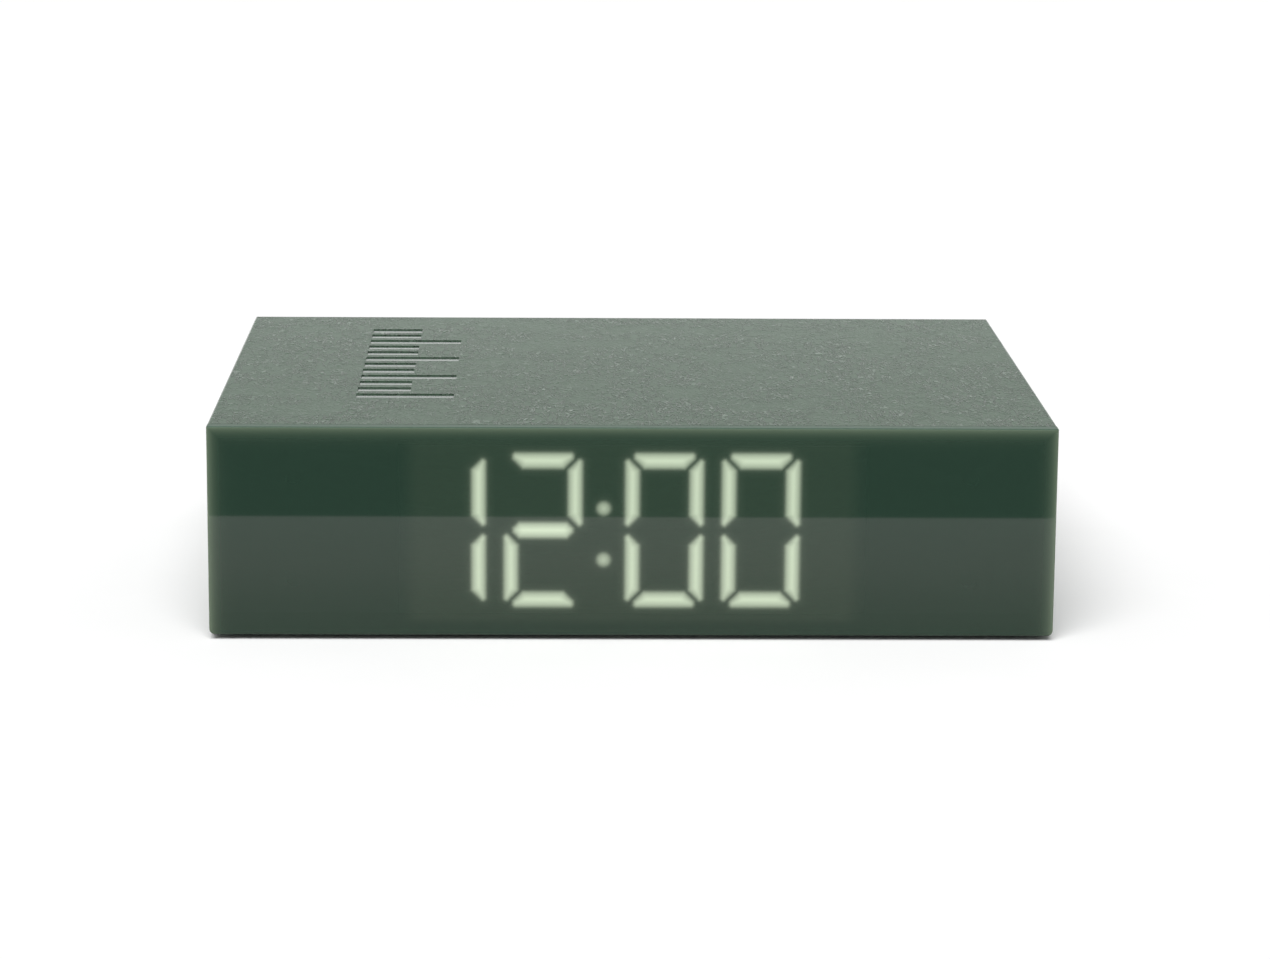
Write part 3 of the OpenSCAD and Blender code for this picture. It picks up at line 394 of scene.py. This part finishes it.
# %% The film as a fine grid
wide, high = len(xs), len(zs)
front_points = np.column_stack([grid[:, 0], np.full(len(grid), film_low.y), grid[:, 1]])
corners = [(x, film_high.y, z) for z in (zs[0], zs[-1]) for x in (xs[0], xs[-1])]
index = np.arange(wide * high).reshape(high, wide)
squares = np.stack(
    [index[:-1, :-1], index[:-1, 1:], index[1:, 1:], index[1:, :-1]], axis=-1
).reshape(-1, 4)
low_left, low_right, top_left, top_right = range(wide * high, wide * high + 4)
sides = [
    [low_left, top_left, top_right, low_right],
    [low_left, low_right, *index[0, ::-1]],
    [low_right, top_right, *index[::-1, -1]],
    [top_right, top_left, *index[-1, :]],
    [top_left, low_left, *index[:, 0]],
]
film_mesh = bpy.data.meshes.new("glow_film")
film_mesh.from_pydata(front_points.tolist() + corners, [], squares.tolist() + sides)
stored = film_mesh.color_attributes.new("light", "FLOAT_COLOR", "POINT")
values = np.zeros((len(film_mesh.vertices), 4), np.float32)
values[: len(light), :3] = light
values[:, 3] = 1
stored.data.foreach_set("color", values.ravel())
glow_film = bpy.data.objects.new("glow_film", film_mesh)
scene.collection.objects.link(glow_film)
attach(glow_film, "case")
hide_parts("diffuser_film")
print(f"glow_film has {len(film_mesh.polygons)} faces")

# %% Milky polycarbonate
# Dull and smoky when it is unlit, so that only what shines through it shows. The strength makes
# up for the share of light that the spine lets pass.
DIGIT_LIGHT = 0.7

milky, tree, shader = new_finish(
    "milky polycarbonate", IOR=1.58, Emission_Strength=DIGIT_LIGHT / SPINE_SHOWS
)
mould_grain(tree, shader, ("#3A403B", "#434A44"), (0.6, 0.7), grain=0.8, depth=0.002)
reach = add(tree, "VertexColor", layer_name="light")
tree.links.new(reach.outputs["Color"], shader.inputs["Emission Color"])
film_mesh.materials.append(milky)
print(f"{milky.name}: glow_film, at strength {DIGIT_LIGHT / SPINE_SHOWS:.2f}")

# %% [markdown]
# ## The covers
# The two boards and the battery door look like book cloth: dark green ABS from a mould etched
# with a fine leather grain. Seen flat along the surface, it shines pale, because any smooth skin
# reflects more at a low angle. So the colour stays dark and the reflection does the rest. It is
# weaker than on smooth ABS, because the walls of the grain hide part of it. The grain is short
# creases that run into each other. They lie where a noise passes through its middle value, as
# contour lines lie on a map. A second, coarse noise lets them gather in some places and fade in
# others. The raised creases are painted a little paler than the ground, a painted highlight for the
# glint along their ridges. The floors of the sunk hour marks were polished in the mould, so they
# get a finish of their own.

# %% Creases of the leather grain
CREASE = 1.3
CREASE_LONG = 3.2
NOISE_MIDDLE = 0.5
CREASE_HALF = 0.07

leather, tree, shader = new_finish("leather-grained ABS", IOR=1.5, Specular_IOR_Level=0.2)
place = add(tree, "TexCoord")
drawn = add(
    tree,
    "Mapping",
    {"Vector": place.outputs["Object"], "Scale": (1, CREASE / CREASE_LONG, 1)},
)
bends = add(
    tree,
    "TexNoise",
    {
        "Vector": drawn.outputs["Vector"],
        "Scale": per_mm(CREASE),
        "Detail": 1.5,
        "Roughness": 0.6,
        "Distortion": 1.2,
    },
)
side = add(tree, "Math", {0: bends.outputs["Fac"], 1: NOISE_MIDDLE}, operation="SUBTRACT")
off_line = add(tree, "Math", {0: side.outputs[0]}, operation="ABSOLUTE")
line = add(
    tree,
    "MapRange",
    {"Value": off_line.outputs[0], "From Min": CREASE_HALF, "From Max": 0.0},
    interpolation_type="SMOOTHSTEP",
)
print(f"creases bend every {CREASE} mm across and {CREASE_LONG} mm along")

# %% Where the creases gather, and fine wrinkles
GATHER = 10
GATHER_FROM = 0.38
GATHER_TO = 0.62
GATHER_LEAST = 0.15
WRINKLE = 0.3
WRINKLE_SHARE = 0.06

patch = add(
    tree,
    "TexNoise",
    {"Vector": place.outputs["Object"], "Scale": per_mm(GATHER), "Detail": 3.0},
)
gathered = add(
    tree,
    "MapRange",
    {
        "Value": patch.outputs["Fac"],
        "From Min": GATHER_FROM,
        "From Max": GATHER_TO,
        "To Min": GATHER_LEAST,
    },
)
creases = add(
    tree,
    "Math",
    {0: line.outputs["Result"], 1: gathered.outputs["Result"]},
    operation="MULTIPLY",
)
wrinkle = add(
    tree,
    "TexNoise",
    {"Vector": drawn.outputs["Vector"], "Scale": per_mm(WRINKLE), "Detail": 2.0},
)
both = add(
    tree,
    "Math",
    {0: wrinkle.outputs["Fac"], 1: WRINKLE_SHARE, 2: creases.outputs[0]},
    operation="MULTIPLY_ADD",
)
print(f"creases gather every {GATHER} mm, over wrinkles of {WRINKLE} mm")

# %% Leather-grained ABS
# An etched grain is a good deal shallower. It is drawn deeper, so that it shows from this far away.
GRAIN_DEEP = 0.72

relief = add(tree, "Bump", {"Height": both.outputs[0], "Distance": GRAIN_DEEP * MM})
# Painted highlight: the creases get the paler shade, standing in for the glint along their ridges.
tone = add(
    tree,
    "Mix",
    {"Factor": creases.outputs[0], MIX_A: linear("#415645"), MIX_B: linear("#6A7E6E")},
    data_type="RGBA",
)
gloss = add(tree, "MapRange", {"Value": both.outputs[0], "To Min": 0.44, "To Max": 0.36})
tree.links.new(tone.outputs[MIX_RESULT], shader.inputs["Base Color"])
tree.links.new(gloss.outputs["Result"], shader.inputs["Roughness"])
tree.links.new(relief.outputs["Normal"], shader.inputs["Normal"])
dress(leather, "top_cover", "base_cover", "battery_door")

# %% Polished floors of the hour marks
MARK_LEAST = 0.01 * MM
MARK_DEEPEST = 1.0 * MM


def on_mark_floor(middle, normal):
    return normal.z > FACING and MARK_LEAST < cad_box[1].z - middle.z < MARK_DEEPEST


polished, tree, shader = new_finish("polished ABS", IOR=1.5)
mould_grain(tree, shader, ("#46554B", "#4D5C52"), (0.14, 0.2), grain=1.5, depth=0.003)
paint_faces("top_cover", polished, on_mark_floor)

# %% [markdown]
# ## The pages, the keys and the feet
# Between the boards runs a frame with moulded lines, like the edges of a block of pages. Real
# pages show fine streaks along their length, so its grain is stretched flat. The keys have a
# satin grain that fingers polish, the slider is pale so that it can be found, and the feet are
# soft rubber with no shine at all.

# %% Satin ABS, pale ABS and rubber
PAGE_STREAKS = (0.05, 0.05, 1)

pages, tree, shader = new_finish("satin ABS, lined", IOR=1.54)
mould_grain(
    tree,
    shader,
    ("#45534A", "#55645A"),
    (0.45, 0.6),
    grain=0.5,
    depth=0.03,
    stretch=PAGE_STREAKS,
)
dress(pages, "page_frame")

satin, tree, shader = new_finish("satin ABS", IOR=1.54)
mould_grain(tree, shader, ("#39473F", "#3F4E45"), (0.35, 0.5), grain=0.4, depth=0.006)
dress(satin, "set_button", "alarm_button", "plus_button", "minus_button")

pale, tree, shader = new_finish("pale ABS", IOR=1.54)
mould_grain(tree, shader, ("#AEB8AF", "#BAC3BA"), (0.4, 0.55), grain=0.4, depth=0.006)
dress(pale, "alarm_slider")

rubber, tree, shader = new_finish("silicone rubber", IOR=1.41)
mould_grain(tree, shader, ("#1B1C1B", "#242624"), (0.8, 0.95), grain=0.6, depth=0.02)
dress(rubber, "rubber_feet")

# %% [markdown]
# ## White and frosted plastic inside
# The light guide is a white block with a slot for each segment, so that light bounces up to the
# film and does not leak sideways. White ABS with a matt mould finish does that. The segments in
# the slots are clear acrylic with a sanded end. The lit ones glow on their own account, as strong
# as their colour is written. The flat ribbon cable is white too, with a groove between its wires.

# %% White ABS and frosted acrylic
white, tree, shader = new_finish("white ABS", IOR=1.54)
mould_grain(tree, shader, ("#E4E4DF", "#ECECE8"), (0.6, 0.75), grain=0.5, depth=0.008)
dress(white, "light_guide", "ribbon_sockets")
dress(white, "set_plunger", "alarm_plunger", "plus_plunger", "minus_plunger")

lit, tree, shader = new_finish(
    "frosted acrylic, lit", IOR=1.49, Emission_Color=linear("#CBDDC2"), Emission_Strength=1.0
)
mould_grain(tree, shader, ("#D6E2CF", "#DFEAD9"), (0.5, 0.65), grain=0.3, depth=0.006)
dress(lit, "lit_segments")

unlit, tree, shader = new_finish("frosted acrylic", IOR=1.49)
mould_grain(tree, shader, ("#8F9A91", "#9AA59C"), (0.5, 0.65), grain=0.3, depth=0.006)
dress(unlit, "dark_segments")

# %% Ribbon cable
# At scale 1 a wave texture repeats every tau / 20 of a unit, so its scale is multiplied by that.
WAVE_REPEAT = math.tau / 20
WIRE_PITCH = 1.27
WIRE_HIGH = 0.1

ribbon, tree, shader = new_finish("ribbon cable PVC", IOR=1.53, Roughness=0.5)
place = add(tree, "TexCoord")
wires = add(
    tree,
    "TexWave",
    {"Vector": place.outputs["Object"], "Scale": per_mm(WIRE_PITCH) * WAVE_REPEAT},
    bands_direction="X",
)
shade = add(
    tree,
    "Mix",
    {"Factor": wires.outputs["Fac"], MIX_A: linear("#B9BAB6"), MIX_B: linear("#DEDFDB")},
    data_type="RGBA",
)
ridge = add(tree, "Bump", {"Height": wires.outputs["Fac"], "Distance": WIRE_HIGH * MM})
tree.links.new(shade.outputs[MIX_RESULT], shader.inputs["Base Color"])
tree.links.new(ridge.outputs["Normal"], shader.inputs["Normal"])
dress(ribbon, "display_ribbon")

# %% [markdown]
# ## The two circuit boards
# A board is glass-fibre laminate under green solder mask, a lacquer that shines. Copper tracks
# show through as paler lines with a slight rise. Drawing real tracks is a job for an electronics
# program. A brick pattern, whose joints are the tracks, gives the eye the same right angles. The
# two boards stand at right angles to each other, so the pattern reads y plus z as its second way.

# %% Solder mask over copper
TRACK = 0.4
TRACK_PITCH = 2.2
TRACK_HIGH = 0.03
TRACK_RUN = 3.5

mask, tree, shader = new_finish("solder mask", IOR=1.52)
place = add(tree, "TexCoord")
axes = add(tree, "SeparateXYZ", {"Vector": place.outputs["Object"]})
second = add(tree, "Math", {0: axes.outputs["Y"], 1: axes.outputs["Z"]}, operation="ADD")
flat = add(tree, "CombineXYZ", {"X": axes.outputs["X"], "Y": second.outputs[0]})
tracks = add(
    tree,
    "TexBrick",
    {
        "Vector": flat.outputs[0],
        "Scale": per_mm(TRACK_PITCH),
        "Mortar Size": TRACK / TRACK_PITCH / 2,
        "Mortar Smooth": 0.3,
        "Row Height": 1.0,
        "Brick Width": TRACK_RUN,
        "Color1": linear("#1B4A2C"),
        "Color2": linear("#1E5031"),
        "Mortar": linear("#2C6A43"),
    },
)
lacquer = add(tree, "MapRange", {"Value": tracks.outputs["Fac"], "To Min": 0.35, "To Max": 0.25})
rise = add(tree, "Bump", {"Height": tracks.outputs["Fac"], "Distance": TRACK_HIGH * MM})
tree.links.new(tracks.outputs["Color"], shader.inputs["Base Color"])
tree.links.new(lacquer.outputs["Result"], shader.inputs["Roughness"])
tree.links.new(rise.outputs["Normal"], shader.inputs["Normal"])
dress(mask, "display_board", "main_board")
print(f"tracks {TRACK} mm wide, {TRACK_PITCH} mm apart")

# %% [markdown]
# ## Small parts on the boards
# Chips and switch housings are black epoxy or nylon from dull moulds. The legs of the chip are
# dipped in tin. An LED is a white cup filled with yellow phosphor, which its front shows. The
# capacitor is an aluminium can in a dark sleeve, bare on top.

# %% Plated metal
# Plating takes over the fine lines of the metal under it, so the grain is stretched along X and
# runs between two shades of grey. A metal has no colour under its reflection.
DRAWN_LINES = (0.1, 1, 1)

plated, tree, shader = new_finish("nickel-plated steel", Metallic=1.0)
mould_grain(
    tree,
    shader,
    ("#A9A8A3", "#C6C5BF"),
    (0.22, 0.36),
    grain=0.25,
    depth=0.003,
    stretch=DRAWN_LINES,
)
dress(plated, "crystal", "usb_shell", "slide_body", "plate_contacts", "leaf_contacts")

zinc, tree, shader = new_finish("zinc-plated steel", Metallic=1.0)
mould_grain(tree, shader, ("#A3A8AC", "#BCC1C4"), (0.28, 0.42), grain=0.3, depth=0.004)
dress(zinc, "case_screws", "display_screws", "board_screws")

brass, tree, shader = new_finish("drawn brass", Metallic=1.0)
mould_grain(
    tree,
    shader,
    ("#B9974F", "#CBAA63"),
    (0.25, 0.38),
    grain=0.25,
    depth=0.003,
    stretch=DRAWN_LINES,
)
dress(brass, "tap_sensor")

# %% Epoxy with tinned legs
CHIP_LEGS = 1.35 * MM
CHIP_SLACK = 0.001 * MM
chip_low, chip_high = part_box("processor_chip")


def on_chip_legs(middle, normal):
    return min(middle.y - chip_low.y, chip_high.y - middle.y) < CHIP_LEGS - CHIP_SLACK


epoxy, tree, shader = new_finish("moulded epoxy", IOR=1.55)
mould_grain(tree, shader, ("#1A1A1B", "#232324"), (0.5, 0.65), grain=0.2, depth=0.004)
dress(epoxy, "processor_chip", "switch_bodies", "usb_tongue", "slide_lever")
paint_faces("processor_chip", zinc, on_chip_legs)

# %% Nylon, phosphor and sleeves
cup, tree, shader = new_finish("white nylon", IOR=1.53)
mould_grain(tree, shader, ("#E8E8E2", "#F0F0EC"), (0.5, 0.6), grain=0.2, depth=0.003)
dress(cup, "led_chips")

phosphor, tree, shader = new_finish("phosphor in silicone", IOR=1.41)
mould_grain(tree, shader, ("#D9C65A", "#E6D674"), (0.25, 0.4), grain=0.2, depth=0.003)
paint_faces("led_chips", phosphor, lambda middle, normal: normal.y < -FACING)

sleeve, tree, shader = new_finish("shrink sleeve PVC", IOR=1.53)
mould_grain(tree, shader, ("#2A3138", "#333B43"), (0.2, 0.32), grain=1.2, depth=0.006)
dress(sleeve, "capacitor", "battery_cells")
paint_faces("capacitor", zinc, lambda middle, normal: normal.z > FACING)

# %% [markdown]
# ## Batteries, leads and the speaker
# Each cell wears a plain sleeve that folds over a steel can: both ends and the small cap of the
# plus end are bare. The leads are red PVC on copper, with the soft shine of an extruded skin. The
# speaker has a pressed steel basket dipped in black, a grey ferrite magnet and a cone of felted
# paper, whose fibres lie in all directions.

# %% Ends of the cells
CELL_END = 1.4 * MM
END_FACING = 0.5
cell_low, cell_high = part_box("battery_cells")


def on_cell_end(middle, normal):
    to_end = min(middle.x - cell_low.x, cell_high.x - middle.x)
    return to_end < CELL_END and abs(normal.x) > END_FACING


paint_faces("battery_cells", plated, on_cell_end)

# %% Leads and speaker
lead, tree, shader = new_finish("red PVC", IOR=1.53)
mould_grain(tree, shader, ("#8E1D1D", "#9C2523"), (0.3, 0.42), grain=0.8, depth=0.004)
dress(lead, "speaker_lead", "battery_lead")

basket, tree, shader = new_finish("black-dipped steel", IOR=1.5)
mould_grain(tree, shader, ("#222324", "#2C2D2E"), (0.4, 0.55), grain=0.6, depth=0.01)
dress(basket, "speaker_basket")

ferrite, tree, shader = new_finish("sintered ferrite", IOR=1.6)
mould_grain(tree, shader, ("#3A3A3C", "#4A4A4C"), (0.5, 0.65), grain=0.4, depth=0.015)
dress(ferrite, "speaker_magnet")

paper, tree, shader = new_finish("felted paper", IOR=1.45)
mould_grain(tree, shader, ("#1C1B1A", "#2E2C2A"), (0.85, 0.95), grain=0.25, depth=0.03)
dress(paper, "speaker_cone")

print(f"{len(bpy.data.materials)} materials")

# %% [markdown]
# ## The studio
# The clock stands on a wide pale floor under an even sky. A softbox in front gives most of the
# light, and a strip lamp behind puts a sheen on the cover. A card lies on the floor in front, and
# only reflections see it. Photographers use such cards on glossy things. Its print is a painted
# reflection: the upper half of the spine mirrors its black part and stays deep green, and the lower
# half mirrors a warm grey, a painted shadow of the clock, that runs up to white, with a clean line
# between them.

# %% Floor
FLOOR_R = 9.0
FLOOR_POINTS = 96

turns = [math.tau * i / FLOOR_POINTS for i in range(FLOOR_POINTS)]
floor_mesh = bpy.data.meshes.new("floor")
floor_mesh.from_pydata(
    [(FLOOR_R * math.cos(t), FLOOR_R * math.sin(t), 0) for t in turns],
    [],
    [list(range(FLOOR_POINTS))],
)
floor = bpy.data.objects.new("floor", floor_mesh)
scene.collection.objects.link(floor)
paint, tree, shader = new_finish("matt white paint", Specular_IOR_Level=0.0)
mould_grain(tree, shader, ("#F8F8F8", "#FAFAFA"), (0.9, 0.95), grain=40, depth=0.0)
floor_mesh.materials.append(paint)
print(f"floor {2 * FLOOR_R} m across")

# %% Card for the reflection
CARD_NEAR = cad_box[0].y
CARD_LINE = -135.5 * MM
CARD_DEEP = 3.0
CARD_SIDE = 3.0
CARD_LIFT = 0.3 * MM

card_mesh = bpy.data.meshes.new("card")
card_mesh.from_pydata(
    [
        (-CARD_SIDE, CARD_LINE - CARD_DEEP, CARD_LIFT),
        (CARD_SIDE, CARD_LINE - CARD_DEEP, CARD_LIFT),
        (CARD_SIDE, CARD_NEAR, CARD_LIFT),
        (-CARD_SIDE, CARD_NEAR, CARD_LIFT),
    ],
    [],
    [(0, 1, 2, 3)],
)
card = bpy.data.objects.new("card", card_mesh)
scene.collection.objects.link(card)
card.visible_camera = False
card.visible_diffuse = False
card.visible_shadow = False
card.visible_transmission = False
print(f"the card turns black {(CARD_NEAR - CARD_LINE) / MM:.1f} mm in front of the spine")

# %% Print on the card
# Painted reflection: the print pales from a grey painted shadow of the clock at its foot to white
# at the line, and everything past the line is black.
REFLECTION_HALF = 0.5
REFLECTION_END = 0.9
REFLECTION_EDGE = 0.0001

painted_reflection_card, tree, shader = new_finish("card with a painted reflection", Specular_IOR_Level=0.0, Roughness=1.0)
place = add(tree, "TexCoord")
axes = add(tree, "SeparateXYZ", {"Vector": place.outputs["Object"]})
across = add(
    tree,
    "MapRange",
    {
        "Value": axes.outputs["Y"],
        "From Min": CARD_NEAR,
        "From Max": CARD_LINE,
        "To Max": REFLECTION_END,
    },
    clamp=False,
)
painted_reflection_run = add(tree, "ValToRGB", {"Fac": across.outputs["Result"]})
steps = painted_reflection_run.color_ramp.elements
steps[0].color = linear("#B2989B")
steps[1].position = REFLECTION_END
steps[1].color = linear("#FFF4F6")
steps.new(REFLECTION_HALF).color = linear("#F0DDE0")
steps.new(REFLECTION_END + REFLECTION_EDGE).color = linear("#020202")
tree.links.new(painted_reflection_run.outputs["Color"], shader.inputs["Base Color"])
card_mesh.materials.append(painted_reflection_card)
print(f"{painted_reflection_card.name}: card, in {len(steps)} steps")

# %% Sky
# The camera, gloss and glass see a white sky, but dull surfaces get a dimmer light from it.
SKY_LIGHT = 0.3

world = bpy.data.worlds.new("studio")
scene.world = world
world.use_nodes = True
tree = world.node_tree
tree.nodes.clear()
rays = add(tree, "LightPath")
seen = add(
    tree,
    "Math",
    {0: rays.outputs["Is Camera Ray"], 1: rays.outputs["Is Glossy Ray"]},
    operation="ADD",
)
shown = add(
    tree, "Math", {0: seen.outputs[0], 1: rays.outputs["Is Transmission Ray"]}, operation="ADD"
)
level = add(tree, "MapRange", {"Value": shown.outputs[0], "To Min": SKY_LIGHT})
sky = add(tree, "Background", {"Color": linear("#FFFFFF"), "Strength": level.outputs["Result"]})
add(tree, "OutputWorld", {"Surface": sky.outputs[0]})
print(f"sky lights dull surfaces at {SKY_LIGHT}")

# %% Lamps
# The softbox in front is wide and far away, so it is a sun with a broad disc. The strip lamp stands
# close behind the clock, just above its top. The cover mirrors it at a flat angle, more strongly at
# its rear than at its front.
FRONT_LIGHT = 3.0
FRONT_SPREAD = math.radians(50)
FRONT_TILT = math.radians(35)
FRONT_TURN = math.radians(-10)
STRIP_WATTS = 0.0157
STRIP_LONG = 0.5
STRIP_HIGH = 25 * MM
STRIP_BEHIND = 50 * MM
FACE_FORWARD = math.radians(-90)

front_data = bpy.data.lights.new("front softbox", "SUN")
front_data.energy = FRONT_LIGHT
front_data.angle = FRONT_SPREAD
front_lamp = bpy.data.objects.new("front softbox", front_data)
scene.collection.objects.link(front_lamp)
front_lamp.rotation_euler = Euler((FRONT_TILT, 0, FRONT_TURN))

strip_data = bpy.data.lights.new("strip lamp", "AREA")
strip_data.shape = "RECTANGLE"
strip_data.size = STRIP_LONG
strip_data.size_y = STRIP_HIGH
strip_data.energy = STRIP_WATTS
strip_lamp = bpy.data.objects.new("strip lamp", strip_data)
scene.collection.objects.link(strip_lamp)
strip_lamp.location = (0, cad_box[1].y + STRIP_BEHIND, cad_box[1].z + STRIP_HIGH / 2)
strip_lamp.rotation_euler = Euler((FACE_FORWARD, 0, 0))
strip_lamp.visible_camera = False
print(f"front {FRONT_LIGHT}, strip {STRIP_WATTS} W")

# %% [markdown]
# ## The camera
# The clock is seen from a little above its top, nearly straight on, through a long lens. The
# corners of a box of known size tell where a camera stands: its place, turn and lens were solved
# from the six corners of the case that show, and from the digits.

# %% Camera
FRAME_WIDE = 1270
FOCAL_PIXELS = 3817.0
SENSOR = 36.0
CAMERA_PLACE = (-12.43, -619.94, 147.06)
CAMERA_TURN = (77.948, -0.423, -1.187)
VIEW_REACH = 50

camera_data = bpy.data.cameras.new("camera")
camera_data.sensor_width = SENSOR
camera_data.lens = SENSOR * FOCAL_PIXELS / FRAME_WIDE
camera_data.clip_end = VIEW_REACH
camera = bpy.data.objects.new("camera", camera_data)
scene.collection.objects.link(camera)
camera.location = [v * MM for v in CAMERA_PLACE]
camera.rotation_euler = Euler([math.radians(a) for a in CAMERA_TURN])
scene.camera = camera
print(f"lens {camera_data.lens:.1f} mm")
